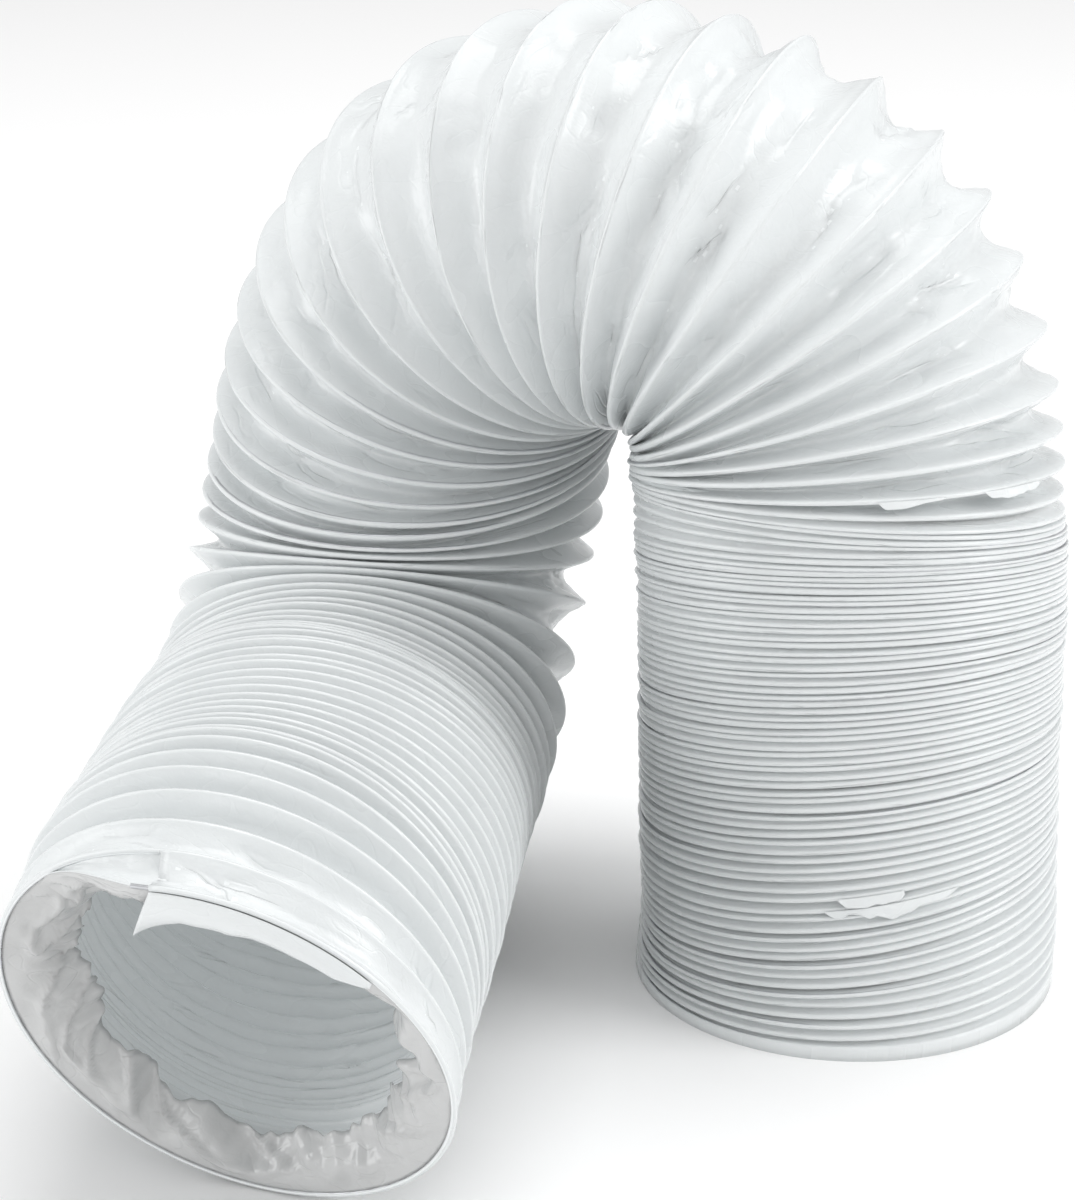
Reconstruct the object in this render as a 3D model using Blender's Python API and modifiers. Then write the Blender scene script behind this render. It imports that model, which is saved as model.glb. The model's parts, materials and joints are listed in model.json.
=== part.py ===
"""Flexible vent hose: a thin film sleeve carried on one long spring wire.

The hose is described turn by turn. Each turn of the wire is a ring that stands a small
step from the turn before it on the tight side, and opens out on the far side as the
heading of the hose changes. The lay lists the step and the heading at a few turns, and
everything else follows from it: squeezed into a column at the foot, fanned out over the
bend, squeezed again at the neck, and open at the mouth.
"""

import math

import bmesh
import bpy
from mathutils import Vector

# ---- driving sizes, in metres ----
BORE = 0.1004              # clear inside of the film sleeve, where a 100 mm spigot goes
FILM = 0.0008              # wall of the sleeve
WIRE = 0.0010              # diameter of the spring wire
GAP = 0.0003               # clear space between the wire and the sleeve
CREST = 0.0024             # flat top of each open turn, over the wire
FLAT_SHARE = 0.3           # most that half the flat top may take of the way to the next turn
SAG = 0.0060               # deepest sag of the film between two open turns
SAG_FROM = 0.0030          # spacing of two turns at which the film starts to sag
SAG_FULL = 0.0160          # spacing of two turns at which the film sags fully
FOOT_EDGE = 0.0012         # film left below the first turn of the wire
STEP_UNIT = 0.001          # length of one unit in the lay's steps
LIP_DEPTH = 0.0150         # how far the tucked end reaches back into the mouth
LIP_WIDTH = 0.0130         # how far the tucked end reaches in from the rim

# ---- facets and turns ----
FACETS = 20                # facets round the sleeve
WIRE_FACETS = 10           # facets round each turn of the wire
BEND_FROM = 66             # turn at which the squeezed column ends and the bend starts
BEND_TO = 99               # turn at which the bend ends
MOUTH_FROM = 119           # turn from which the open end runs to the mouth
TURNS = 125.5              # turns of wire in the whole hose
COLUMN_STEP = 4            # turns between two rings of the plain wall of the column
LEG_STEP = 3               # turns between two rings of the plain wall of the other leg
BESIDE = 0.6               # turns between a stretch of open turns and the ring next to it
END_TURNS = 1.1            # turns at the mouth where the wire has as many facets as the film
PHASE = 0.10               # share of a turn by which the wire's start is turned

# ---- how the hose lies ----
# turn, step of one turn on its tight side (X Y Z, in STEP_UNIT), heading (degrees round, up)
LAY = (
    (0.0, 0.3, 0.3, 1.6, 180.0, 90.0),
    (8.0, 0.0, 0.2, 1.7, 170.0, 82.0),
    (20.0, 0.0, 0.1, 1.65, 141.0, 81.5),
    (40.0, 0.0, -0.1, 1.35, 113.0, 80.0),
    (60.0, -0.1, 0.0, 1.2, 90.0, 78.5),
    (67.0, -0.3, -0.3, 1.1, 87.0, 80.0),
    (70.0, 0.1, 0.1, 1.3, 135.0, 73.0),
    (73.0, 0.1, 0.4, 1.5, 161.0, 51.0),
    (76.0, -1.6, 0.7, -0.8, 156.0, 20.5),
    (79.0, 0.0, 2.0, -0.6, 145.0, -9.0),
    (82.0, -2.3, -1.1, -1.0, 133.0, -42.0),
    (85.0, -1.9, -1.9, -3.1, 120.0, -68.0),
    (88.0, -1.2, -1.2, -2.8, 88.0, -79.0),
    (91.0, -1.6, -0.6, -1.1, -106.0, -78.0),
    (95.0, -1.1, -3.2, -0.8, -98.0, -30.0),
    (101.0, -0.2, -2.6, 0.6, -102.0, -22.0),
    (110.0, -0.55, -6.0, 0.35, -98.0, -17.5),
    (119.0, -0.1, -2.5, 0.55, -106.5, -9.5),
    (125.5, -0.05, -6.3, -1.35, -110.0, -24.5),
)
FINE = 40                  # steps in which each turn of the lay is added up

RIM = BORE / 2 + FILM
COAT = WIRE / 2
CORNERS = 3                # corners of the wire's section, one of them pointing inward
WIRE_RING = RIM - FILM - GAP - COAT * math.cos(math.pi / CORNERS)
OVER = COAT * math.sin(math.pi / CORNERS) + GAP + FILM


def heading(turn_row):
    """Unit vector along the bore at one listed turn."""
    around, up = math.radians(turn_row[4]), math.radians(turn_row[5])
    return Vector((math.cos(up) * math.cos(around), math.cos(up) * math.sin(around), math.sin(up)))


def blend(rows, values, turn):
    """Smooth curve through the listed values, read at one turn."""
    last = len(rows) - 2
    k = 0
    while k < last and turn >= rows[k + 1][0]:
        k += 1
    t0, t1 = rows[k][0], rows[k + 1][0]
    span = t1 - t0
    s = (turn - t0) / span

    def slope(j):
        """Slope of the curve at listed value j."""
        if j == 0:
            return (values[1] - values[0]) / (rows[1][0] - rows[0][0])
        if j == last + 1:
            return (values[j] - values[j - 1]) / (rows[j][0] - rows[j - 1][0])
        before = rows[j][0] - rows[j - 1][0]
        after = rows[j + 1][0] - rows[j][0]
        first = (values[j] - values[j - 1]) / before
        second = (values[j + 1] - values[j]) / after
        return (first * after + second * before) / (before + after)

    a, b = slope(k), slope(k + 1)
    return ((2 * s ** 3 - 3 * s ** 2 + 1) * values[k] + (s ** 3 - 2 * s ** 2 + s) * span * a
            + (3 * s ** 2 - 2 * s ** 3) * values[k + 1] + (s ** 3 - s ** 2) * span * b)


def lay_hose():
    """Centre, bore direction and two cross directions of the hose, FINE times a turn."""
    arrows = [heading(row) for row in LAY]
    steps = [Vector(row[1:4]) * STEP_UNIT for row in LAY]
    count = int(round(TURNS * FINE))
    frames = []
    centre = Vector((0.0, 0.0, 0.0))
    along = blend(LAY, arrows, 0.0).normalized()
    side = Vector((1.0, 0.0, 0.0))
    side = (side - along * side.dot(along)).normalized()
    for i in range(count + 1):
        if i:
            turn = i / FINE
            new = blend(LAY, arrows, turn).normalized()
            k = max(j for j in range(len(LAY) - 1) if LAY[j][0] <= turn - 0.5 / FINE)
            share = (turn - 0.5 / FINE - LAY[k][0]) / (LAY[k + 1][0] - LAY[k][0])
            step = steps[k].lerp(steps[k + 1], share)
            centre = centre + step / FINE + (new + along).normalized() * (new - along).length * RIM
            side = (side - new * side.dot(new)).normalized()
            along = new
        frames.append((centre.copy(), along.copy(), side.copy(), along.cross(side)))
    return frames


FRAMES = lay_hose()
LAST = int(TURNS * FACETS)


def frame_at(turn):
    """Frame of the hose at any turn, held at its two ends."""
    place = min(max(turn, 0.0), TURNS) * FINE
    i = min(int(place), len(FRAMES) - 2)
    share = place - i
    low, high = FRAMES[i], FRAMES[i + 1]
    return [low[k].lerp(high[k], share) for k in range(4)]


def outward(turn, angle_turns):
    """Direction from the bore's middle to the wall, at an angle given in turns."""
    _, _, side, across = frame_at(turn)
    a = 2 * math.pi * (angle_turns + PHASE)
    return side * math.cos(a) + across * math.sin(a)


def on_turn(turn, radius):
    """Point of the wire's helix at this turn and radius."""
    return frame_at(turn)[0] + outward(turn, turn) * radius


def wall_frame(turn):
    """Directions along the wall and straight out of it, where the wire lies under it."""
    low, high = max(turn - 1, turn % 1), min(turn + 1, TURNS)
    if high < turn + 1:
        high = turn
    run = (on_turn(high, RIM) - on_turn(low, RIM)).normalized()
    share = min(max(TURNS - 1 - turn, 0.0), 1.0)
    run = frame_at(turn)[1].lerp(run, share).normalized()
    ahead = on_turn(turn + 0.5 / FINE, RIM) - on_turn(turn - 0.5 / FINE, RIM)
    out = ahead.cross(run).normalized()
    if out.dot(outward(turn, turn)) < 0:
        out = -out
    return run, out


def ring(turn, radius):
    """Flat ring of points round the bore."""
    centre = frame_at(turn)[0]
    return [centre + outward(turn, j / FACETS) * radius for j in range(FACETS)]


def sag_at(spacing):
    """Depth of the film between two turns this far apart."""
    s = min(max((spacing - SAG_FROM) / (SAG_FULL - SAG_FROM), 0.0), 1.0)
    return SAG * s * s * (3 - 2 * s)


def open_rows(first, last):
    """Rows of an open stretch: before each crest, after it, and the valley beyond."""
    before, after, valley = {}, {}, {}
    for i in range(first, last + 1):
        turn = i / FACETS
        crest = on_turn(turn, RIM)
        if i + FACETS <= last:
            nxt = on_turn(turn + 1, RIM)
            span = nxt - crest
            half = min(CREST / 2, FLAT_SHARE * span.length)
            after[i] = crest + span.normalized() * half
            valley[i] = (crest + nxt) / 2 - outward(turn + 0.5, turn) * sag_at(span.length)
        if i - FACETS >= first:
            prev = on_turn(turn - 1, RIM)
            span = prev - crest
            half = min(CREST / 2, FLAT_SHARE * span.length)
            before[i] = crest + span.normalized() * half
    for i in range(first, last + 1):
        turn = i / FACETS
        crest = on_turn(turn, RIM)
        along = frame_at(turn)[1]
        before.setdefault(i, crest - along * GAP)
        after.setdefault(i, crest + along * (OVER if last == LAST else GAP))
    return before, after, valley


class Sheet:
    """One sheet of faces that is added row by row."""

    def __init__(self):
        self.mesh = bmesh.new()

    def points(self, places):
        """New points, in a dict when places is a dict and in a list otherwise."""
        if isinstance(places, dict):
            return {key: self.mesh.verts.new(p) for key, p in places.items()}
        return [self.mesh.verts.new(p) for p in places]

    def face(self, *corners):
        """One face through the corners."""
        self.mesh.faces.new(corners)

    def tube(self, low, high):
        """Faces between two closed rings."""
        for j in range(FACETS):
            k = (j + 1) % FACETS
            self.face(low[j], low[k], high[k], high[j])


def add_open(sheet, first, last, ring_before, ring_after):
    """Open turns between two plain rings, and the two rings themselves."""
    b, a, v = open_rows(first, last)
    b, a, v = sheet.points(b), sheet.points(a), sheet.points(v)
    for i in range(first, last):
        sheet.face(b[i], b[i + 1], a[i + 1], a[i])
        if i + 1 in v:
            sheet.face(a[i], a[i + 1], v[i + 1], v[i])
            sheet.face(v[i], v[i + 1], b[i + 1 + FACETS], b[i + FACETS])
    if ring_before:
        for j in range(FACETS - 1):
            sheet.face(ring_before[j], ring_before[j + 1], b[first + j + 1], b[first + j])
        near = b[first + FACETS - 1]
        sheet.face(near, v[first], b[first + FACETS])
        sheet.face(near, a[first], v[first])
        sheet.face(near, b[first], a[first])
        sheet.face(near, ring_before[-1], ring_before[0], b[first])
    if ring_after:
        start = last - FACETS
        for j in range(1, FACETS):
            k = (j + 1) % FACETS
            sheet.face(a[start + j], a[start + j + 1], ring_after[k], ring_after[j])
        near = a[start + 1]
        sheet.face(near, v[start], a[start])
        sheet.face(near, b[last], v[start])
        sheet.face(near, a[last], b[last])
        sheet.face(near, ring_after[1], ring_after[0], a[last])
    return a


def build_sleeve(material, home):
    """The film sleeve, from its cut foot to the tucked end inside the mouth."""
    sheet = Sheet()
    turns = []
    turn = 0.0
    while turn < BEND_FROM - 1:
        turns.append(turn)
        turn += COLUMN_STEP
    turns.append(BEND_FROM - BESIDE)
    below = frame_at(0.0)[1] * FOOT_EDGE
    rings = [sheet.points([p - below for p in ring(0.0, RIM)])]
    rings += [sheet.points(ring(t, RIM)) for t in turns]
    for low, high in zip(rings, rings[1:]):
        sheet.tube(low, high)
    first, last = BEND_FROM * FACETS, BEND_TO * FACETS
    neck = [sheet.points(ring(BEND_TO + BESIDE, RIM))]
    add_open(sheet, first, last, rings[-1], neck[0])
    turn = BEND_TO + LEG_STEP
    while turn < MOUTH_FROM - 1:
        neck.append(sheet.points(ring(turn, RIM)))
        turn += LEG_STEP
    neck.append(sheet.points(ring(MOUTH_FROM - BESIDE, RIM)))
    for low, high in zip(neck, neck[1:]):
        sheet.tube(low, high)
    first, last = MOUTH_FROM * FACETS, LAST
    rim = add_open(sheet, first, last, neck[-1], None)
    inner, edge = {}, {}
    for i in range(last - FACETS, last + 1):
        turn = i / FACETS
        centre, along = frame_at(turn)[:2]
        out = outward(turn, turn)
        inner[i] = centre + out * (WIRE_RING - COAT - GAP - FILM) + along * OVER
        edge[i] = centre + out * (RIM - LIP_WIDTH) - along * LIP_DEPTH
    inner, edge = sheet.points(inner), sheet.points(edge)
    for i in range(last - FACETS, last):
        sheet.face(rim[i], rim[i + 1], inner[i + 1], inner[i])
        sheet.face(inner[i], inner[i + 1], edge[i + 1], edge[i])
    return finish(sheet.mesh, "film_sleeve", material, home, FILM)


def build_wire(material, home):
    """The spring wire, one helix under the film from end to end."""
    mesh = bmesh.new()
    coarse = int((TURNS - END_TURNS) * WIRE_FACETS)
    turns = [i / WIRE_FACETS for i in range(coarse)]
    turns += [i / FACETS for i in range(coarse * FACETS // WIRE_FACETS, LAST + 1)]
    rows = []
    for turn in turns:
        along, out = wall_frame(turn)
        middle = on_turn(turn, RIM) - out * (RIM - WIRE_RING)
        row = []
        for j in range(CORNERS):
            a = math.pi / CORNERS + 2 * math.pi * j / CORNERS
            row.append(mesh.verts.new(middle + (out * math.cos(a) + along * math.sin(a)) * COAT))
        rows.append(row)
    for low, high in zip(rows, rows[1:]):
        for j in range(CORNERS):
            k = (j + 1) % CORNERS
            mesh.faces.new((low[j], high[j], high[k], low[k]))
    mesh.faces.new(rows[0])
    mesh.faces.new(rows[-1])
    return finish(mesh, "spring_wire", material, home, 0.0)


def finish(mesh, name, material, home, wall):
    """Object made from a finished sheet or solid, with its wall when it needs one."""
    bmesh.ops.recalc_face_normals(mesh, faces=mesh.faces)
    data = bpy.data.meshes.new(name)
    mesh.to_mesh(data)
    mesh.free()
    for polygon in data.polygons:
        polygon.use_smooth = True
    data.materials.append(material)
    item = bpy.data.objects.new(name, data)
    home.objects.link(item)
    if wall:
        solid = item.modifiers.new("wall", 'SOLIDIFY')
        solid.thickness = wall
        solid.offset = -1.0
        solid.use_even_offset = True
        solid.use_rim = True
    return item


def make_material(name, colour, roughness, metallic):
    """Plain surface with its own settings."""
    material = bpy.data.materials.new(name)
    material.use_nodes = True
    shader = material.node_tree.nodes["Principled BSDF"]
    shader.inputs["Base Color"].default_value = (*colour, 1.0)
    shader.inputs["Roughness"].default_value = roughness
    shader.inputs["Metallic"].default_value = metallic
    return material


def clear_scene():
    """Empty scene, whatever was in it before."""
    for item in list(bpy.data.objects):
        bpy.data.objects.remove(item, do_unlink=True)
    for group in list(bpy.data.collections):
        bpy.data.collections.remove(group)


def main():
    """Both pieces, moved so that the box round them stands centred on the floor."""
    clear_scene()
    home = bpy.data.collections.new("dryer_vent_hose")
    bpy.context.scene.collection.children.link(home)
    film = make_material("white_film", (0.82, 0.84, 0.85), 0.38, 0.0)
    steel = make_material("coated_wire", (0.62, 0.63, 0.65), 0.40, 1.0)
    pieces = [build_sleeve(film, home), build_wire(steel, home)]
    points = [v.co for v in pieces[0].data.vertices]
    low = Vector([min(p[k] for p in points) for k in range(3)])
    high = Vector([max(p[k] for p in points) for k in range(3)])
    shift = Vector(((low.x + high.x) / 2, (low.y + high.y) / 2, low.z))
    for piece in pieces:
        for v in piece.data.vertices:
            v.co -= shift


main()
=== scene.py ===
"""Dressed scene of the dryer vent hose: ribbed film, its spring wire and the torn open end.

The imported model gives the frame. The hose's own lay, the same list of turns as in the part's
source, gives the path that every piece here follows.
"""

import json
import logging
import math
from dataclasses import dataclass, field
from enum import Enum

import bmesh
import bpy
import numpy as np
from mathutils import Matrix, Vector

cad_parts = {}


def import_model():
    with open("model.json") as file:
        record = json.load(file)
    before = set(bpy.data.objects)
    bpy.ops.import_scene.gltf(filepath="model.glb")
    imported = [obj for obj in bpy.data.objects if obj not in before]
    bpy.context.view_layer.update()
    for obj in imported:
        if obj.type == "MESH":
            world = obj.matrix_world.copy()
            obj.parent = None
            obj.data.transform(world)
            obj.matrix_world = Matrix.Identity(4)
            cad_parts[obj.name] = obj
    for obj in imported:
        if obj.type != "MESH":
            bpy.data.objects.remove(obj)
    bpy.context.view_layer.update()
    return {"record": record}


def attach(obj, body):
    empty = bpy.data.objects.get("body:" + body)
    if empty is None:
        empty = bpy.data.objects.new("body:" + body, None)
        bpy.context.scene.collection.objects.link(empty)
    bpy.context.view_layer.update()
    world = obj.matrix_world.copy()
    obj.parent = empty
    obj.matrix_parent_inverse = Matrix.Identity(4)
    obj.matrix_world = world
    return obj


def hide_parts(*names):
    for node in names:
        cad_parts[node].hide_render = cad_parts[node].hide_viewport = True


LOG = logging.getLogger("dryer_vent_hose")

MM = 0.001
BORE = 0.1004              # clear inside of the hose
CAD_FILM = 0.0008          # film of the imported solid
RIM = BORE / 2 + CAD_FILM  # radius to the tops of the beads
FOOT_EDGE = 0.0012         # the wire starts this far above the floor
TURNS = 125.5              # turns of the wire
PHASE = 0.10               # part of a turn at which the wire starts
FINE = 40                  # rows of the path in each turn
FILM_WIDTH = 0.024         # film between one turn of the wire and the next
ROUND = 120                # film facets in each turn
WIRE_ROUND = 56            # wire segments in each turn
LAST_TURNS = 2.7           # the film hangs less over this many last turns
LAST_BLEND = 0.8           # turns over which that begins
LAST_TAUT = 0.65           # how much less it hangs there
EASE = 2.0                 # turns at the foot over which the unevenness begins

# unevenness of the beads: size in mm, waves in a turn, start of the wave
PROUD_WAVES = ((0.22, 0.37, 1.0), (0.16, 1.31, 0.0), (0.12, 2.07, 2.0))
SHIFT_WAVES = ((0.17, 0.53, 0.0), (0.09, 1.77, 0.6))

# turn, step of one turn on its tight side (mm, X Y Z), heading (degrees round, degrees up)
LAY = (
    (0.0, 0.3, 0.3, 1.6, 180.0, 90.0),
    (8.0, 0.0, 0.2, 1.7, 170.0, 82.0),
    (20.0, 0.0, 0.1, 1.65, 141.0, 81.5),
    (40.0, 0.0, -0.1, 1.35, 113.0, 80.0),
    (60.0, -0.1, 0.0, 1.2, 90.0, 78.5),
    (67.0, -0.3, -0.3, 1.1, 87.0, 80.0),
    (70.0, 0.1, 0.1, 1.3, 135.0, 73.0),
    (73.0, 0.1, 0.4, 1.5, 161.0, 51.0),
    (76.0, -1.6, 0.7, -0.8, 156.0, 20.5),
    (79.0, 0.0, 2.0, -0.6, 145.0, -9.0),
    (82.0, -2.3, -1.1, -1.0, 133.0, -42.0),
    (85.0, -1.9, -1.9, -3.1, 120.0, -68.0),
    (88.0, -1.2, -1.2, -2.8, 88.0, -79.0),
    (91.0, -1.6, -0.6, -1.1, -106.0, -78.0),
    (95.0, -1.1, -3.2, -0.8, -98.0, -30.0),
    (101.0, -0.2, -2.6, 0.6, -102.0, -22.0),
    (110.0, -0.55, -6.0, 0.35, -98.0, -17.5),
    (119.0, -0.1, -2.5, 0.55, -106.5, -9.5),
    (125.5, -0.05, -6.3, -1.35, -110.0, -24.5),
)

Array = np.ndarray


def unit(rows: Array) -> Array:
    """Rows scaled to length one."""
    return rows / np.maximum(np.linalg.norm(rows, axis=-1, keepdims=True), 1e-12)


def value_noise(x: Array, y: Array, seed: float) -> Array:
    """Smooth random surface over two coordinates.

    Args:
        x: first coordinate, one unit to a bump.
        y: second coordinate, one unit to a bump.
        seed: fixed number that picks the surface.

    Returns:
        Values from -1 to 1.
    """
    def corner(i: Array, j: Array) -> Array:
        """Random value at a grid corner."""
        value = np.sin(i * 127.1 + j * 311.7 + seed * 74.7) * 43758.5453
        return (value - np.floor(value)) * 2 - 1

    i, j = np.floor(x), np.floor(y)
    s, t = x - i, y - j
    s, t = s * s * (3 - 2 * s), t * t * (3 - 2 * t)
    low = corner(i, j) * (1 - s) + corner(i + 1, j) * s
    high = corner(i, j + 1) * (1 - s) + corner(i + 1, j + 1) * s
    return low * (1 - t) + high * t


def torn_line(place: Array, piece: float, seed: float) -> Array:
    """Edge of straight tears, each about one piece long, from -1 to 1.

    Args:
        place: distance along the edge.
        piece: length of one tear.
        seed: fixed number that picks the edge.

    Returns:
        Values from -1 to 1.
    """
    k = np.floor(place / piece)
    share = place / piece - k

    def corner(i: Array) -> Array:
        """Random value at a corner of the edge."""
        value = np.sin(i * 91.7 + seed * 13.1) * 15731.743
        return (value - np.floor(value)) * 2 - 1

    return corner(k) * (1 - share) + corner(k + 1) * share


def link_mesh(name: str, points: Array, faces: list, finish: bpy.types.Material) -> bpy.types.Object:
    """New smooth-shaded object in the scene.

    Args:
        name: name of the object and its mesh.
        points: one row for each vertex.
        faces: lists of vertex numbers.
        finish: its material.

    Returns:
        The object.
    """
    mesh = bpy.data.meshes.new(name)
    mesh.from_pydata(points.tolist(), [], faces)
    mesh.polygons.foreach_set("use_smooth", [True] * len(mesh.polygons))
    mesh.materials.append(finish)
    item = bpy.data.objects.new(name, mesh)
    bpy.context.scene.collection.objects.link(item)
    return item


def straight(turns: Array, along: Array, radius: float = RIM) -> Array:
    """Places on the hose pulled straight, which the patterns of film and material share.

    Args:
        turns: turn of each point.
        along: how far along the straight hose.
        radius: how far from its middle.

    Returns:
        One row for each point.
    """
    angle = 2 * np.pi * turns
    return np.stack([radius * np.cos(angle), radius * np.sin(angle), along], 1)


def grid_faces(number: Array) -> list:
    """Faces between the rows of a grid of vertex numbers."""
    a, b = number[:-1], number[1:]
    return np.stack([a[:, :-1], a[:, 1:], b[:, 1:], b[:, :-1]], -1).reshape(-1, 4).tolist()


def thin_sheet(name: str, points: Array, faces: list, rest: Array, skin: float,
               finish: bpy.types.Material) -> bpy.types.Object:
    """Piece of loose film with a real thickness.

    Args:
        name: name of the piece.
        points: one row for each vertex.
        faces: lists of vertex numbers.
        rest: where each vertex lies on the hose pulled straight.
        skin: thickness of the film.
        finish: its material.

    Returns:
        The piece.
    """
    item = link_mesh(name, points, faces, finish)
    item.data.attributes.new("rest", "FLOAT_VECTOR", "POINT").data.foreach_set("vector", rest.ravel())
    wall = item.modifiers.new("film", 'SOLIDIFY')
    wall.thickness = skin
    wall.offset = 0.0
    return item


class Wiring:
    """Shorthand for adding and joining the nodes of one tree."""

    def __init__(self, tree: bpy.types.NodeTree) -> None:
        """Starts on a tree."""
        self.tree = tree

    def add(self, kind: str, **settings: object) -> bpy.types.Node:
        """New node with the settings given by name.

        Args:
            kind: type of the node.
            settings: its properties.

        Returns:
            The node.
        """
        node = self.tree.nodes.new(kind)
        for name, value in settings.items():
            setattr(node, name, value)
        return node

    def feed(self, socket: bpy.types.NodeSocket, value: object) -> None:
        """Joins a socket to an input, or sets the input to a plain value.

        Args:
            socket: input to feed.
            value: output socket or plain value.
        """
        if isinstance(value, bpy.types.NodeSocket):
            self.tree.links.new(value, socket)
        else:
            socket.default_value = value

    def math(self, operation: str, *values: object, clamp: bool = False) -> bpy.types.NodeSocket:
        """Result of one sum on numbers.

        Args:
            operation: name of the sum.
            values: sockets or numbers.
            clamp: whether the result is held from 0 to 1.

        Returns:
            Socket of the result.
        """
        node = self.add("ShaderNodeMath", operation=operation, use_clamp=clamp)
        for socket, value in zip(node.inputs, values):
            self.feed(socket, value)
        return node.outputs[0]

    def vector(self, operation: str, *values: object) -> bpy.types.NodeSocket:
        """Result of one sum on vectors; a plain number where that is what it gives.

        Args:
            operation: name of the sum.
            values: sockets or vectors.

        Returns:
            Socket of the result.
        """
        node = self.add("ShaderNodeVectorMath", operation=operation)
        for socket, value in zip(node.inputs, values):
            self.feed(socket, value)
        return node.outputs["Value" if operation in {"LENGTH", "DOT_PRODUCT"} else "Vector"]

    def scaled(self, arrow: object, size: object) -> bpy.types.NodeSocket:
        """A vector times a number.

        Args:
            arrow: socket or vector.
            size: socket or number.

        Returns:
            Socket of the result.
        """
        node = self.add("ShaderNodeVectorMath", operation="SCALE")
        self.feed(node.inputs[0], arrow)
        self.feed(node.inputs["Scale"], size)
        return node.outputs["Vector"]

    def spread(self, value: object, low: float, high: float, to_low: float, to_high: float,
               smooth: bool = False) -> bpy.types.NodeSocket:
        """A value carried from one range to another, held at the ends.

        Args:
            value: socket to read.
            low: start of its range.
            high: end of its range.
            to_low: result at the start.
            to_high: result at the end.
            smooth: whether it eases in and out.

        Returns:
            Socket of the result.
        """
        node = self.add("ShaderNodeMapRange", interpolation_type="SMOOTHSTEP" if smooth else "LINEAR")
        for socket, item in zip(node.inputs, (value, low, high, to_low, to_high)):
            self.feed(socket, item)
        return node.outputs["Result"]

    def noise(self, place: object, stretch: tuple[float, float, float], detail: float = 2.0,
              twist: float = 0.0) -> bpy.types.NodeSocket:
        """Random value from 0 to 1, with a bump size for each direction.

        Args:
            place: socket of the place.
            stretch: bump size along X, Y and Z.
            detail: finer layers added.
            twist: how far the pattern is pulled about.

        Returns:
            Socket of the value.
        """
        node = self.add("ShaderNodeTexNoise")
        self.feed(node.inputs["Vector"], self.vector("MULTIPLY", place, tuple(1 / size for size in stretch)))
        self.feed(node.inputs["Scale"], 1.0)
        self.feed(node.inputs["Detail"], detail)
        self.feed(node.inputs["Distortion"], twist)
        return node.outputs["Fac"]


def crease_line(w: Wiring, rest: bpy.types.NodeSocket, width: float) -> bpy.types.NodeSocket:
    """Creases that run round the film and stop here and there, from 0 to 1.

    Args:
        w: tree to add the nodes to.
        rest: place on the hose pulled straight.
        width: how wide a crease is, in values of the noise.

    Returns:
        The creases, the same in a mesh tree and in a material.
    """
    line = w.noise(rest, (0.030, 0.030, 0.0085), 1.0, 0.7)
    near = w.spread(w.math("ABSOLUTE", w.math("SUBTRACT", line, 0.5)), 0.0, width, 1.0, 0.0, True)
    stop = w.spread(w.noise(rest, (0.024, 0.024, 0.020), 0.0), 0.46, 0.58, 0.0, 1.0, True)
    return w.math("MULTIPLY", near, stop)


class Stretch(Enum):
    """Stretches of the sleeve: name, first turn, last turn, steps on the bead and on the film."""

    COLUMN = ("film_column", 0, 66, 2, 2)
    RISE = ("film_bend_rise", 66, 82, 2, 13)
    FALL = ("film_bend_fall", 82, 98, 2, 12)
    LEG = ("film_leg", 98, 124.5, 2, 6)


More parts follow.
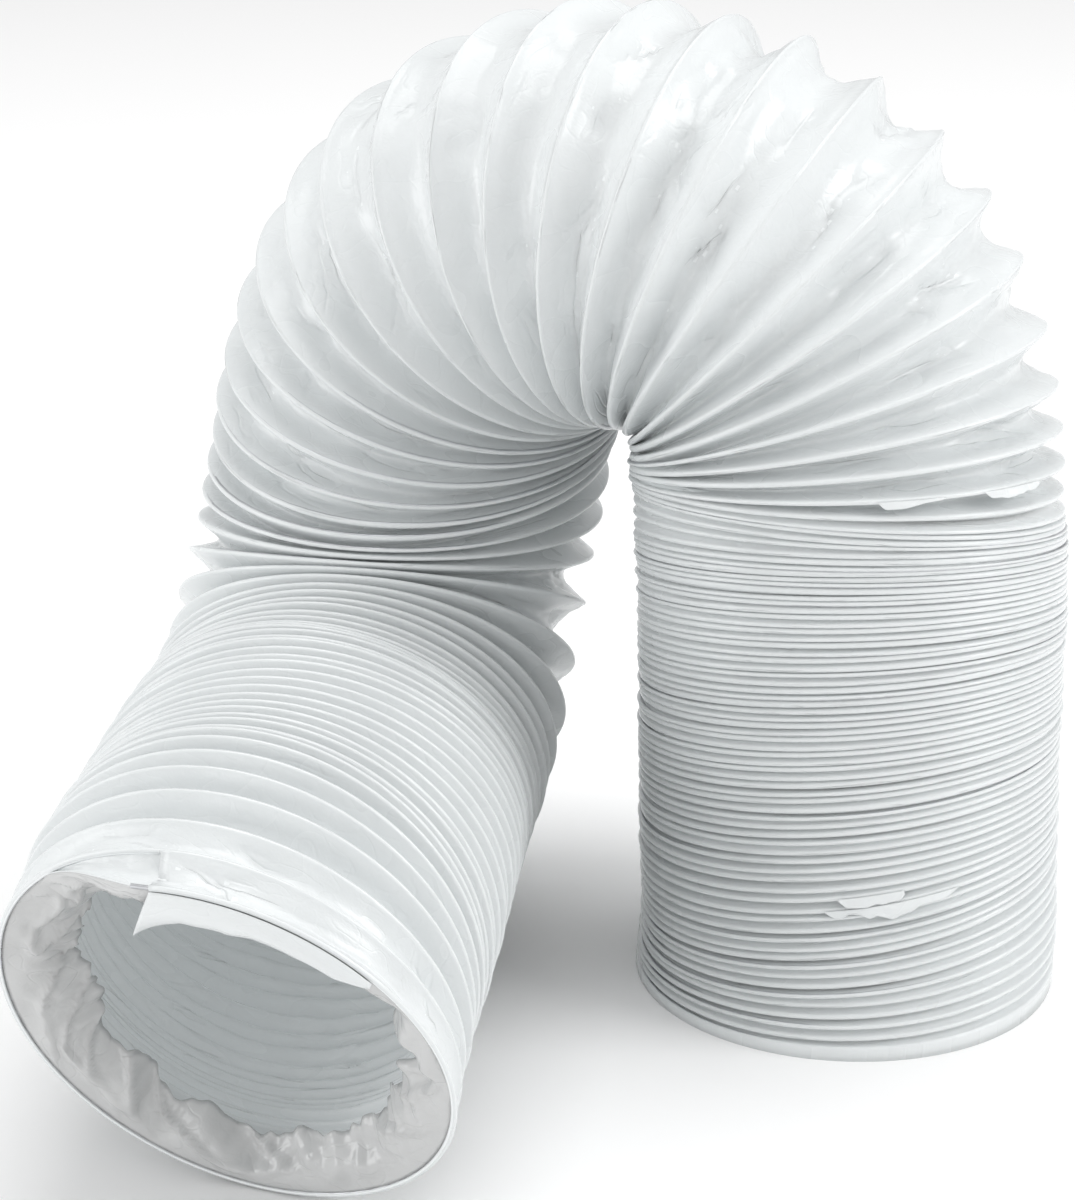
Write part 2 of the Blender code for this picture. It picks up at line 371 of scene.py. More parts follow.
@dataclass
class HosePath:
    """Centre line and cross directions of the hose, turn by turn."""

    foot: Vector
    centre: Array = field(init=False)
    along: Array = field(init=False)
    side: Array = field(init=False)
    across: Array = field(init=False)

    def __post_init__(self) -> None:
        """Adds the lay up from the foot."""
        rows = np.array(LAY)
        turns, steps = rows[:, 0], rows[:, 1:4] * MM
        yaw, rise = np.radians(rows[:, 4]), np.radians(rows[:, 5])
        arrows = np.stack([np.cos(rise) * np.cos(yaw), np.cos(rise) * np.sin(yaw), np.sin(rise)], 1)
        count = int(round(TURNS * FINE)) + 1
        places = np.arange(count) / FINE
        along = unit(self.smooth(turns, arrows, places))
        mid = places[1:] - 0.5 / FINE
        step = np.stack([np.interp(mid, turns, steps[:, k]) for k in range(3)], 1) / FINE
        lean = unit(along[1:] + along[:-1]) * np.linalg.norm(np.diff(along, axis=0), axis=1)[:, None]
        centre = np.vstack([np.zeros((1, 3)), np.cumsum(step + lean * RIM, axis=0)])
        side = np.zeros_like(centre)
        carried = np.array([1.0, 0.0, 0.0])
        for k in range(count):
            carried = carried - along[k] * carried.dot(along[k])
            carried = carried / np.linalg.norm(carried)
            side[k] = carried
        self.centre = centre + np.array(self.foot)
        self.along, self.side = along, side
        self.across = np.cross(along, side)

    @staticmethod
    def smooth(turns: Array, values: Array, places: Array) -> Array:
        """Smooth curve through the listed values.

        Args:
            turns: turn of each listed value.
            values: one row for each listed turn.
            places: turns to read the curve at.

        Returns:
            One row for each place.
        """
        gap = np.diff(turns)
        rate = np.diff(values, axis=0) / gap[:, None]
        slope = np.vstack([rate[:1], (rate[:-1] * gap[1:, None] + rate[1:] * gap[:-1, None])
                           / (gap[1:] + gap[:-1])[:, None], rate[-1:]])
        k = np.clip(np.searchsorted(turns, places, side="right") - 1, 0, len(turns) - 2)
        span = gap[k][:, None]
        s = (places[:, None] - turns[k][:, None]) / span
        return ((2 * s ** 3 - 3 * s ** 2 + 1) * values[k] + (s ** 3 - 2 * s ** 2 + s) * span * slope[k]
                + (3 * s ** 2 - 2 * s ** 3) * values[k + 1] + (s ** 3 - s ** 2) * span * slope[k + 1])

    def read(self, table: Array, turns: Array) -> Array:
        """One of the path's tables, read between its rows.

        Args:
            table: one row for each step of the path.
            turns: where to read it.

        Returns:
            One row for each turn given.
        """
        place = np.clip(turns, 0, TURNS) * FINE
        low = np.minimum(place.astype(int), len(table) - 2)
        share = (place - low)[:, None]
        return table[low] * (1 - share) + table[low + 1] * share

    def outward(self, turns: Array, angle_turns: Array) -> Array:
        """Directions from the middle of the bore to the wall.

        Args:
            turns: where on the path.
            angle_turns: how far round, in turns.

        Returns:
            One unit row for each turn given.
        """
        angle = (2 * np.pi * (angle_turns + PHASE))[:, None]
        side, across = self.read(self.side, turns), self.read(self.across, turns)
        return unit(side * np.cos(angle) + across * np.sin(angle))

    def crest(self, turns: Array, radius: float) -> Array:
        """Points of the wire's helix, with the small unevenness of a real hose.

        Args:
            turns: turn of each point.
            radius: distance from the middle of the bore.

        Returns:
            One row for each turn given.
        """
        wave = 2 * np.pi * turns
        ease = np.clip(turns / EASE, 0, 1)
        proud = ease * sum(size * np.sin(wave * rate + start) for size, rate, start in PROUD_WAVES)
        shift = ease * sum(size * np.sin(wave * rate + start) for size, rate, start in SHIFT_WAVES)
        reach = radius + proud[:, None] * MM
        return (self.read(self.centre, turns) + self.outward(turns, turns) * reach
                + self.read(self.along, turns) * shift[:, None] * MM)


@dataclass
class SheetPlan:
    """Bare sheet of a stretch of film, with what the film tree needs at every point."""

    points: list[Array] = field(default_factory=list)
    columns: dict[str, list[Array]] = field(default_factory=dict)
    faces: list = field(default_factory=list)
    count: int = 0

    def add(self, place: Array, run: Array, down: Array, share: float, cover: float, turns: Array) -> Array:
        """New row of points; gives their numbers.

        Args:
            place: where the points start from.
            run: way to the next turn, or nothing where the film doesn't hang.
            down: direction into the hose.
            share: how far across to the next turn, from 0 to 1.
            cover: thickness of the wall there.
            turns: turn of each point.

        Returns:
            The points' numbers.
        """
        size = len(place)
        rest = straight(turns, FILM_WIDTH * (turns + share))
        loose = 1 - LAST_TAUT * np.clip((turns - TURNS + LAST_TURNS) / LAST_BLEND, 0, 1)
        self.points.append(place)
        for name, rows in (("run", run), ("down", down), ("rest", rest), ("loose", loose),
                           ("share", np.full(size, share)), ("cover", np.full(size, cover))):
            self.columns.setdefault(name, []).append(rows)
        self.count += size
        return np.arange(self.count - size, self.count)

    def strip(self, low: Array, high: Array) -> None:
        """Faces between two rows of points."""
        self.faces += np.stack([low[:-1], low[1:], high[1:], high[:-1]], 1).tolist()

    def closed(self, name: str, finish: bpy.types.Material) -> bpy.types.Object:
        """The sheet doubled into a closed wall, ready for the film tree.

        Args:
            name: name of the object.
            finish: its material.

        Returns:
            The object.
        """
        size = self.count
        open_edges = set()
        for face in self.faces:
            for a, b in zip(face, face[1:] + face[:1]):
                if (b, a) in open_edges:
                    open_edges.remove((b, a))
                else:
                    open_edges.add((a, b))
        rim = [[b, a, a + size, b + size] for a, b in sorted(open_edges)]
        back = [[v + size for v in reversed(face)] for face in self.faces]
        points = np.vstack(self.points)
        item = link_mesh(name, np.vstack([points, points]), self.faces + back + rim, finish)
        for key, rows in self.columns.items():
            values = np.concatenate(rows)
            values = np.concatenate([values, values])
            kind, slot = ("FLOAT_VECTOR", "vector") if values.ndim == 2 else ("FLOAT", "value")
            item.data.attributes.new(key, kind, "POINT").data.foreach_set(slot, values.ravel())
        inner = np.repeat([0.0, 1.0], size)
        item.data.attributes.new("inner", "FLOAT", "POINT").data.foreach_set("value", inner)
        return item


@dataclass
class FilmSleeve:
    """The ribbed film from the foot to the rim, in closed stretches."""

    path: HosePath
    skin: float = 0.00025          # thickness of the film
    bead: float = 0.00062          # radius of the bead over the wire
    bead_angle: float = 82.0       # degrees from the bead's top to where the film leaves it
    cover: float = 0.00135         # wall at the bead, with the wire in it
    bead_share: float = 0.15       # part of the way across that counts as bead
    front_angles: tuple[int, ...] = (45, 90, 140)   # rows of the bead's front at the rim
    deepest: float = 0.0072        # deepest fold
    wrinkle: float = 0.0011        # height of the wrinkles

    def crest(self, turns: Array) -> tuple[Array, Array, Array]:
        """Tops of the beads at these turns, the way on to the next turn, and the way in.

        Args:
            turns: turn of each point.

        Returns:
            The tops, the ways on and the ways in.
        """
        low = self.path.crest(turns, RIM)
        run = self.path.crest(np.minimum(turns + 1, TURNS), RIM) - low
        ahead = self.path.read(self.path.along, turns)
        run = np.where((turns + 1 > TURNS + 1e-6)[:, None], ahead * 0.004, run)
        out = self.path.outward(turns, turns)
        across = unit(run)
        return low, run, -unit(out - across * (out * across).sum(1)[:, None])

    def plan(self, stretch: Stretch) -> SheetPlan:
        """Bare sheet of one stretch.

        Args:
            stretch: which stretch of the hose.

        Returns:
            The sheet.
        """
        _, first, last, bead_steps, belly_steps = stretch.value
        sheet = SheetPlan()
        turns = np.arange(int(first * ROUND), int(last * ROUND) + ROUND + 1) / ROUND
        low, run, down = self.crest(turns)
        tops = sheet.add(low, run, down, 0.0, self.cover, turns)
        size = int((last - first) * ROUND) + 1
        edge = self.bead_share
        shares = list(np.linspace(0, edge, bead_steps + 1)[1:])
        shares += list(np.linspace(edge, 1 - edge, belly_steps + 1)[1:])
        shares += list(np.linspace(1 - edge, 1, bead_steps + 1)[1:-1])
        before = tops[:size]
        seam = [int(tops[0])]
        for share in shares:
            row = sheet.add(low[:size], run[:size], down[:size], share, self.cover, turns[:size])
            sheet.strip(before, row)
            before = row
            seam.append(int(row[0]))
        seam.append(int(tops[ROUND]))
        sheet.strip(before, tops[ROUND:])
        if stretch is Stretch.COLUMN:
            self.foot(sheet, tops, seam)
        if stretch is Stretch.LEG:
            self.rim(sheet, tops[-ROUND - 1:], turns[-ROUND - 1:])
        return sheet

    def foot(self, sheet: SheetPlan, tops: Array, seam: list[int]) -> None:
        """Short film below the first turn, down to the flat cut end.

        Args:
            sheet: sheet to add to.
            tops: numbers of the points along the wire.
            seam: points where the first turn starts, across to the second turn.
        """
        angle = np.arange(ROUND) / ROUND
        zero = np.zeros(ROUND)
        out = self.path.outward(zero, angle)
        ring = self.path.read(self.path.centre, zero) + out * RIM - self.path.along[0] * FOOT_EDGE
        base = sheet.add(ring, ring * 0, -out, 0.0, self.skin * 2, angle)
        sheet.strip(base, tops[:ROUND])
        corner = int(base[-1])
        sheet.faces.append([corner, int(base[0]), seam[0]])
        sheet.faces += [[corner, a, b] for a, b in zip(seam, seam[1:])]
        sheet.faces.append([corner, seam[-1], int(tops[ROUND - 1])])

    def rim(self, sheet: SheetPlan, tops: Array, turns: Array) -> None:
        """Front of the bead round the last turn.

        Args:
            sheet: sheet to add to.
            tops: numbers of the points along the last turn.
            turns: turn of each of them.
        """
        ahead, out = self.path.read(self.path.along, turns), self.path.outward(turns, turns)
        crest = self.path.crest(turns, RIM)
        before = tops
        for degrees in self.front_angles:
            angle = math.radians(degrees)
            place = crest + ahead * self.bead * math.sin(angle) - out * self.bead * (1 - math.cos(angle))
            row = sheet.add(place, place * 0, -out, 0.0, self.skin, turns)
            sheet.strip(before, row)
            before = row

    def tree(self) -> bpy.types.GeometryNodeTree:
        """Node tree that hangs the film between the turns of the wire and gives it its wall.

        Returns:
            The tree, with named inputs for its sizes.
        """
        tree = bpy.data.node_groups.new("hang_film", "GeometryNodeTree")
        face = tree.interface
        face.new_socket("Sheet", in_out="INPUT", socket_type="NodeSocketGeometry")
        for name in ("Bead", "Bead Share", "Bead Angle", "Film Width", "Deepest", "Wrinkle", "Skin"):
            face.new_socket(name, in_out="INPUT", socket_type="NodeSocketFloat")
        face.new_socket("Finish", in_out="INPUT", socket_type="NodeSocketMaterial")
        face.new_socket("Film", in_out="OUTPUT", socket_type="NodeSocketGeometry")
        w = Wiring(tree)
        source, sink = w.add("NodeGroupInput").outputs, w.add("NodeGroupOutput").inputs

        def stored(name: str, kind: str = "FLOAT") -> bpy.types.NodeSocket:
            """Value kept at each point.

            Args:
                name: the value's name.
                kind: the value's type.

            Returns:
                Socket of the value.
            """
            node = w.add("GeometryNodeInputNamedAttribute", data_type=kind)
            node.inputs["Name"].default_value = name
            return node.outputs["Attribute"]

        run, down, rest = (stored(name, "FLOAT_VECTOR") for name in ("run", "down", "rest"))
        share, cover, inner, slack_left = stored("share"), stored("cover"), stored("inner"), stored("loose")
        pitch = w.vector("LENGTH", run)
        way = w.vector("NORMALIZE", run)
        radius = w.math("MINIMUM", source["Bead"], w.math("MULTIPLY", pitch, 0.46))
        edge = source["Bead Share"]
        near = w.math("MINIMUM", share, w.math("SUBTRACT", 1.0, share))
        angle = w.math("MULTIPLY", w.math("DIVIDE", near, edge, clamp=True), source["Bead Angle"])
        bead_out = w.math("MULTIPLY", radius, w.math("SINE", angle))
        bead_in = w.math("MULTIPLY", radius, w.math("SUBTRACT", 1.0, w.math("COSINE", angle)))
        full = source["Bead Angle"]
        foot_out = w.math("MULTIPLY", radius, w.math("SINE", full))
        foot_in = w.math("MULTIPLY", radius, w.math("SUBTRACT", 1.0, w.math("COSINE", full)))
        belly = w.math("DIVIDE", w.math("SUBTRACT", share, edge),
                       w.math("SUBTRACT", 1.0, w.math("MULTIPLY", edge, 2.0)), clamp=True)
        gap = w.math("SUBTRACT", pitch, w.math("MULTIPLY", foot_out, 2.0))
        late = w.math("GREATER_THAN", share, 0.5)
        turned = w.math("MULTIPLY", w.math("SUBTRACT", foot_out, bead_out), w.math("MULTIPLY", late, 2.0))
        across = w.math("ADD", w.math("MULTIPLY", gap, belly), w.math("ADD", bead_out, turned))
        bow = w.math("MULTIPLY", w.math("MULTIPLY", belly, w.math("SUBTRACT", 1.0, belly)), 4.0)
        slack = w.math("MAXIMUM", w.math("SUBTRACT", source["Film Width"], pitch),
                       w.math("MULTIPLY", source["Film Width"], 0.12))
        loose = w.math("SQRT", w.math("MULTIPLY", w.math("MULTIPLY", pitch, slack), 0.375))
        deep = w.math("SUBTRACT", w.math("MINIMUM", loose, source["Deepest"]), foot_in)
        deep = w.math("MULTIPLY", deep, slack_left)
        round_off = w.spread(pitch, 0.005, 0.012, 1.0, 1.45, True)
        dip = w.math("POWER", bow, round_off)
        hang = w.math("ADD", bead_in, w.math("MULTIPLY", deep, dip))

        soft = w.noise(rest, (0.017, 0.017, 0.0075), 1.5, 0.4)
        small = w.noise(rest, (0.0075, 0.0075, 0.0042), 2.0, 0.8)
        sharp = crease_line(w, rest, 0.13)
        lumps = w.math("ADD", w.math("MULTIPLY", w.math("SUBTRACT", soft, 0.5), 3.0),
                       w.math("MULTIPLY", w.math("SUBTRACT", small, 0.5), 1.4))
        rumple = w.math("ADD", lumps, w.math("MULTIPLY", sharp, 1.1))
        window = w.math("MULTIPLY", w.math("POWER", bow, 0.6), w.spread(pitch, 0.003, 0.010, 0.0, 1.0, True))
        rumple = w.math("MULTIPLY", w.math("MULTIPLY", rumple, window), source["Wrinkle"])

        in_belly = w.math("GREATER_THAN", bow, 0.002)
        rise = w.math("MULTIPLY", deep, w.math("SUBTRACT", 4.0, w.math("MULTIPLY", belly, 8.0)))
        steep = w.math("POWER", bow, w.math("SUBTRACT", round_off, 1.0))
        rise = w.math("MULTIPLY", rise, w.math("MULTIPLY", steep, round_off))
        slope = w.math("SQRT", w.math("ADD", w.math("MULTIPLY", rise, rise), w.math("MULTIPLY", gap, gap)))
        slope = w.math("MAXIMUM", slope, 1e-6)
        thin_out = w.math("MULTIPLY", w.math("DIVIDE", rise, slope), w.math("MULTIPLY", source["Skin"], -1.0))
        thin_in = w.math("MULTIPLY", w.math("DIVIDE", gap, slope), source["Skin"])
        side = w.math("SUBTRACT", 1.0, w.math("MULTIPLY", late, 2.0))
        thick_out = w.math("MULTIPLY", w.math("MULTIPLY", bead_out, side), -0.4)
        thick_in = w.math("SUBTRACT", cover, bead_in)

        def either(belly_value: object, bead_value: object) -> bpy.types.NodeSocket:
            """One value on the hanging film and another on the bead."""
            kept = w.math("MULTIPLY", belly_value, in_belly)
            return w.math("ADD", kept, w.math("MULTIPLY", bead_value, w.math("SUBTRACT", 1.0, in_belly)))

        across = w.math("ADD", across, w.math("MULTIPLY", inner, either(thin_out, thick_out)))
        hang = w.math("ADD", hang, w.math("MULTIPLY", inner, either(thin_in, thick_in)))
        shift = w.vector("ADD", w.scaled(way, across), w.scaled(down, w.math("ADD", hang, rumple)))
        move = w.add("GeometryNodeSetPosition")
        w.feed(move.inputs["Geometry"], source["Sheet"])
        w.feed(move.inputs["Offset"], shift)
        real, paint = w.add("GeometryNodeRealizeInstances"), w.add("GeometryNodeSetMaterial")
        w.feed(real.inputs["Geometry"], move.outputs["Geometry"])
        w.feed(paint.inputs["Geometry"], real.outputs["Geometry"])
        w.feed(paint.inputs["Material"], source["Finish"])
        w.feed(sink["Film"], paint.outputs["Geometry"])
        return tree

    def build(self, finish: bpy.types.Material) -> list[bpy.types.Object]:
        """The stretches, with shading that runs on from one to the next.

        Args:
            finish: the film's material.

        Returns:
            One piece for each stretch.
        """
        tree = self.tree()
        inputs = {"Bead": self.bead, "Bead Share": self.bead_share,
                  "Bead Angle": math.radians(self.bead_angle), "Film Width": FILM_WIDTH,
                  "Deepest": self.deepest, "Wrinkle": self.wrinkle, "Skin": self.skin, "Finish": finish}
        pieces = []
        for stretch in Stretch:
            name = stretch.value[0]
            sheet = self.plan(stretch).closed(name + "_sheet", finish)
            pieces.append(grow(sheet, tree, inputs, name))
        self.match_shading(pieces)
        return pieces

    @staticmethod
    def match_shading(pieces: list[bpy.types.Object]) -> None:
        """Gives points that two stretches share one common shading direction.

        Args:
            pieces: the stretches.
        """
        places, arrows = [], []
        for piece in pieces:
            size = len(piece.data.vertices)
            place, arrow = np.empty(size * 3), np.empty(size * 3)
            piece.data.vertices.foreach_get("co", place)
            piece.data.vertex_normals.foreach_get("vector", arrow)
            places.append(place.reshape(-1, 3))
            arrows.append(arrow.reshape(-1, 3))
        keys = np.round(np.vstack(places) / 1e-6).astype(np.int64)
        _, group = np.unique(keys, axis=0, return_inverse=True)
        group = group.ravel()
        total = np.zeros((group.max() + 1, 3))
        np.add.at(total, group, np.vstack(arrows))
        shared = unit(total)[group]
        start = 0
        for piece, place in zip(pieces, places):
            rows = shared[start:start + len(place)]
            piece.data.normals_split_custom_set_from_vertices(rows.tolist())
            start += len(place)


@dataclass
class MouthFilm:
    """The film's torn end: tucked back into the mouth, patched past the wire's end, with a flap."""

    path: HosePath
    reach: float = 0.0115          # how far the tucked film reaches in from the rim
    back: float = 0.0085           # how far it reaches back into the mouth
    skin: float = 0.00022
    rows: int = 18
    patch: float = 0.11            # turns past the wire's end that the film still covers
    flap_length: float = 0.050     # round the rim
    flap_width: float = 0.0105
    tuck_inset: float = 0.0011     # edges of the three pieces, inside the bead's top
    patch_inset: float = 0.0006
    flap_inset: float = 0.0009
    fine: int = 3                  # points for each facet of the sleeve

    def edge(self, turns: Array, inset: float) -> tuple[Array, Array]:
        """Outer edge of the tucked film, and the turn of the wire behind it.

        Args:
            turns: turn of each point, past the wire's end too.
            inset: how far inside the bead's top the edge lies.

        Returns:
            Points of the edge, and points of the turn behind.
        """
        past = np.clip((turns - TURNS) / self.patch, 0, 1)[:, None]
        held = self.path.crest(np.minimum(turns, TURNS), RIM - inset)
        held = held + self.beyond(turns)
        back = self.path.crest(turns - 1, RIM - inset)
        blend = past * past * (3 - 2 * past)
        return held * (1 - blend) + back * blend, back

    def beyond(self, turns: Array) -> Array:
        """How far the helix would run on past the wire's end.

        Args:
            turns: turn of each point.

        Returns:
            One shift for each turn given.
        """
        held = np.minimum(turns, TURNS)
        turned = self.path.outward(held, turns) - self.path.outward(held, held)
        return turned * RIM

    def sheet(self, name: str, grid: Array, turns: Array, shares: Array,
              finish: bpy.types.Material) -> bpy.types.Object:
        """Thin piece of film from a grid of points.

        Args:
            name: name of the piece.
            grid: points, first along the rim and then across the film.
            turns: turn of each point along the rim.
            shares: place of each point across the film.
            finish: its material.

        Returns:
            The piece.
        """
        number = np.arange(grid.shape[0] * grid.shape[1]).reshape(grid.shape[:2])
        rest = np.stack([straight(turns, FILM_WIDTH * (turns + 0.5 * s), RIM - 0.012 * s) for s in shares], 1)
        return thin_sheet(name, grid.reshape(-1, 3), grid_faces(number), rest, self.skin, finish)

    def tucked(self, finish: bpy.types.Material) -> bpy.types.Object:
        """The tucked film round the last turn of the wire.

        Args:
            finish: its material.

        Returns:
            The piece.
        """
        turns = np.arange(TURNS - 1.0, TURNS + self.patch, 1 / (ROUND * self.fine))
        edge, _ = self.edge(turns, self.tuck_inset)
        held = np.minimum(turns, TURNS)
        ahead, out = self.path.read(self.path.along, held), self.path.outward(held, turns)
        arc = 2 * np.pi * RIM * (turns - TURNS)
        top = np.exp(-((arc + 0.05) / 0.028) ** 2)
        torn = 1 + 0.30 * torn_line(arc, 0.021, 3.0) + 0.20 * torn_line(arc, 0.0062, 5.0)
        torn += 0.09 * torn_line(arc, 0.0023, 9.0) - 0.35 * top
        shares = np.linspace(0, 1, self.rows + 1)
        grid = []
        for s in shares:
            depth = self.back * s ** 2.3 * (0.55 + 0.45 * torn)
            inset = self.reach * s ** 0.85 * torn
            pucker = value_noise(arc / 0.0095 + s * 1.2, arc * 0 + s * 1.6, 11.0)
            pucker += 0.45 * value_noise(arc / 0.0046 - s * 1.5, arc * 0 + s * 3.0, 12.0)
            crease = 1 - np.abs(value_noise(arc / 0.015 + s * 1.8, arc * 0 + s * 1.3, 13.0)) / 0.25
            lift = (0.0017 * pucker + 0.0015 * np.clip(crease, 0, 1)) * min(1.0, 2.2 * s)
            grid.append(edge - out * (inset + 0.5 * lift)[:, None] + ahead * (lift - depth)[:, None])
        return self.sheet("mouth_film", np.stack(grid, 1), turns, shares, finish)

    def patched(self, finish: bpy.types.Material) -> bpy.types.Object:
        """Crumpled film that closes the step past the wire's end.

        Args:
            finish: its material.

        Returns:
            The piece.
        """
        turns = np.arange(TURNS - 0.006, TURNS + self.patch, 1 / (ROUND * self.fine))
        edge, back = self.edge(turns, self.patch_inset)
        held = np.minimum(turns, TURNS)
        out = self.path.outward(held, turns)
        fade = np.clip(1 - (turns - TURNS) / self.patch, 0, 1)
        arc = 2 * np.pi * RIM * (turns - TURNS)
        shares = np.linspace(0, 1, self.rows + 1)
        grid = []
        for s in shares:
            bow = 4 * s * (1 - s)
            crumple = value_noise(arc / 0.006 + s * 2.0, arc * 0 + s * 2.6, 21.0)
            crumple += 0.5 * value_noise(arc / 0.0028 - s, arc * 0 + s * 5.0, 22.0)
            hang = bow * (0.0024 * fade + 0.0007 * crumple * np.sqrt(fade))
            grid.append(back * (1 - s) + edge * s - out * (hang + 0.0003)[:, None])
        return self.sheet("mouth_patch", np.stack(grid, 1), turns, shares, finish)

    def flap(self, finish: bpy.types.Material) -> bpy.types.Object:
        """Stiff white strip of film that hangs into the mouth from the wire's end.

        Args:
            finish: its material.

        Returns:
            The piece.
        """
        span = self.flap_length / (2 * np.pi * RIM)
        turns = np.arange(TURNS - span, TURNS + 0.001, 1 / (ROUND * self.fine))
        edge, _ = self.edge(turns, self.flap_inset)
        ahead, out = self.path.read(self.path.along, turns), self.path.outward(turns, turns)
        round_rim = np.cross(ahead, out)
        arc = 2 * np.pi * RIM * (turns - TURNS)
        near = np.clip(1 + arc / self.flap_length, 0, 1)
        width = self.flap_width * (0.55 + 0.10 * near + 0.75 * near ** 6)
        torn = 1 + 0.16 * torn_line(arc, 0.009, 4.0) + 0.05 * torn_line(arc, 0.0024, 8.0)
        width = width * torn * np.clip(near / 0.12, 0, 1) ** 0.6
        shares = np.linspace(0, 1, self.rows + 1)
        grid = []
        for s in shares:
            wave = 0.0008 * value_noise(arc / 0.014, arc * 0 + s * 1.2, 31.0) * s
            slant = 0.0085 * s * near ** 5
            grid.append(edge - out * (width * s)[:, None] + round_rim * slant[:, None]
                        + ahead * (0.0012 * np.sin(np.pi * s) + wave + 0.0010)[:, None])
        return self.sheet("mouth_flap", np.stack(grid, 1), turns, shares, finish)

    def build(self, torn: bpy.types.Material, film: bpy.types.Material) -> list[bpy.types.Object]:
        """The tucked film, the patch and the flap."""
        return [self.tucked(torn), self.patched(film), self.flap(film)]


@dataclass
class TornStrips:
    """Loose torn strips of film on the outside of the hose."""

    path: HosePath
    # first turn, last turn and width of each strip
    strips: tuple[tuple[float, float, float], ...] = (
        (14.62, 14.72, 0.0045), (15.63, 15.68, 0.0030), (67.66, 67.71, 0.0020), (67.74, 67.80, 0.0024))
    skin: float = 0.0002
    rows: int = 8

    def build(self, finish: bpy.types.Material) -> bpy.types.Object:
        """All strips as one piece.

        Args:
            finish: its material.

        Returns:
            The piece.
        """
        points, faces, rests, start = [], [], [], 0
        for k, (first, last, width) in enumerate(self.strips):
            turns = np.arange(first, last, 1 / (ROUND * 4))
            out, ahead = self.path.outward(turns, turns), self.path.read(self.path.along, turns)
            arc = 2 * np.pi * RIM * (turns - first)
            inside = (turns - first) * (last - turns) / ((last - first) / 2) ** 2
            torn = 0.62 + 0.38 * torn_line(arc, 0.0055, 41.0 + k) + 0.12 * torn_line(arc, 0.0017, 51.0 + k)
            reach = width * torn * np.clip(inside * 2.5, 0.02, 1)
            for s in np.linspace(0, 1, self.rows + 1):
                lift = 0.0003 + 0.0004 * s * value_noise(arc / 0.005, arc * 0 + s * 1.5, 61.0 + k)
                points.append(self.path.crest(turns, RIM) + out * (lift + 0.0003 * s)[:, None]
                              - ahead * (reach * s)[:, None])
                rests.append(straight(turns, FILM_WIDTH * turns + reach * s))
            grid = start + np.arange(len(turns) * (self.rows + 1)).reshape(self.rows + 1, len(turns))
            faces += grid_faces(grid.T)
            start += grid.size
        return thin_sheet("torn_strips", np.vstack(points), faces, np.vstack(rests), self.skin, finish)


@dataclass
class SpringWire:
    """The wire helix under the beads, drawn by Geometry Nodes along its path."""

    path: HosePath
    diameter: float = 0.0010
    under: float = 0.00075         # its middle lies this far inside the bead's top
    sides: int = 6
    poke: float = 0.004            # bare end past the last turn
    start: float = 0.02            # first turn of the wire, just clear of the floor

    def tree(self) -> bpy.types.GeometryNodeTree:
        """Node tree that sweeps a round section along a line of points.

        Returns:
            The tree, with named inputs for its sizes.
        """
        tree = bpy.data.node_groups.new("wire_sweep", "GeometryNodeTree")
        face = tree.interface
        face.new_socket("Line", in_out="INPUT", socket_type="NodeSocketGeometry")
        face.new_socket("Diameter", in_out="INPUT", socket_type="NodeSocketFloat")
        face.new_socket("Sides", in_out="INPUT", socket_type="NodeSocketInt")
        face.new_socket("Finish", in_out="INPUT", socket_type="NodeSocketMaterial")
        face.new_socket("Wire", in_out="OUTPUT", socket_type="NodeSocketGeometry")
        w = Wiring(tree)
        source, sink = w.add("NodeGroupInput").outputs, w.add("NodeGroupOutput").inputs
        curve, ring = w.add("GeometryNodeMeshToCurve"), w.add("GeometryNodeCurvePrimitiveCircle")
        sweep, smooth = w.add("GeometryNodeCurveToMesh"), w.add("GeometryNodeSetShadeSmooth")
        real, paint = w.add("GeometryNodeRealizeInstances"), w.add("GeometryNodeSetMaterial")
        w.feed(curve.inputs["Mesh"], source["Line"])
        w.feed(ring.inputs["Resolution"], source["Sides"])
        w.feed(ring.inputs["Radius"], w.math("MULTIPLY", source["Diameter"], 0.5))
        w.feed(sweep.inputs["Curve"], curve.outputs["Curve"])
        w.feed(sweep.inputs["Profile Curve"], ring.outputs["Curve"])
        sweep.inputs["Fill Caps"].default_value = True
        w.feed(smooth.inputs["Geometry"], sweep.outputs["Mesh"])
        w.feed(real.inputs["Geometry"], smooth.outputs["Geometry"])
        w.feed(paint.inputs["Geometry"], real.outputs["Geometry"])
        w.feed(paint.inputs["Material"], source["Finish"])
        w.feed(sink["Wire"], paint.outputs["Geometry"])
        return tree

    def build(self, finish: bpy.types.Material) -> bpy.types.Object:
        """The wire as a plain mesh.

        Args:
            finish: its material.

        Returns:
            The piece.
        """
        turns = np.linspace(self.start, TURNS, int(TURNS * WIRE_ROUND))
        points = self.path.crest(turns, RIM - self.under)
        tail = points[-1] + unit(points[-1] - points[-2]) * self.poke
        points = np.vstack([points, tail[None]])
        mesh = bpy.data.meshes.new("spring_wire_line")
        edges = [(k, k + 1) for k in range(len(points) - 1)]
        mesh.from_pydata(points.tolist(), edges, [])
        line = bpy.data.objects.new("spring_wire_line", mesh)
        bpy.context.scene.collection.objects.link(line)
        inputs = {"Diameter": self.diameter, "Sides": self.sides, "Finish": finish}
        return grow(line, self.tree(), inputs, "wire_helix")


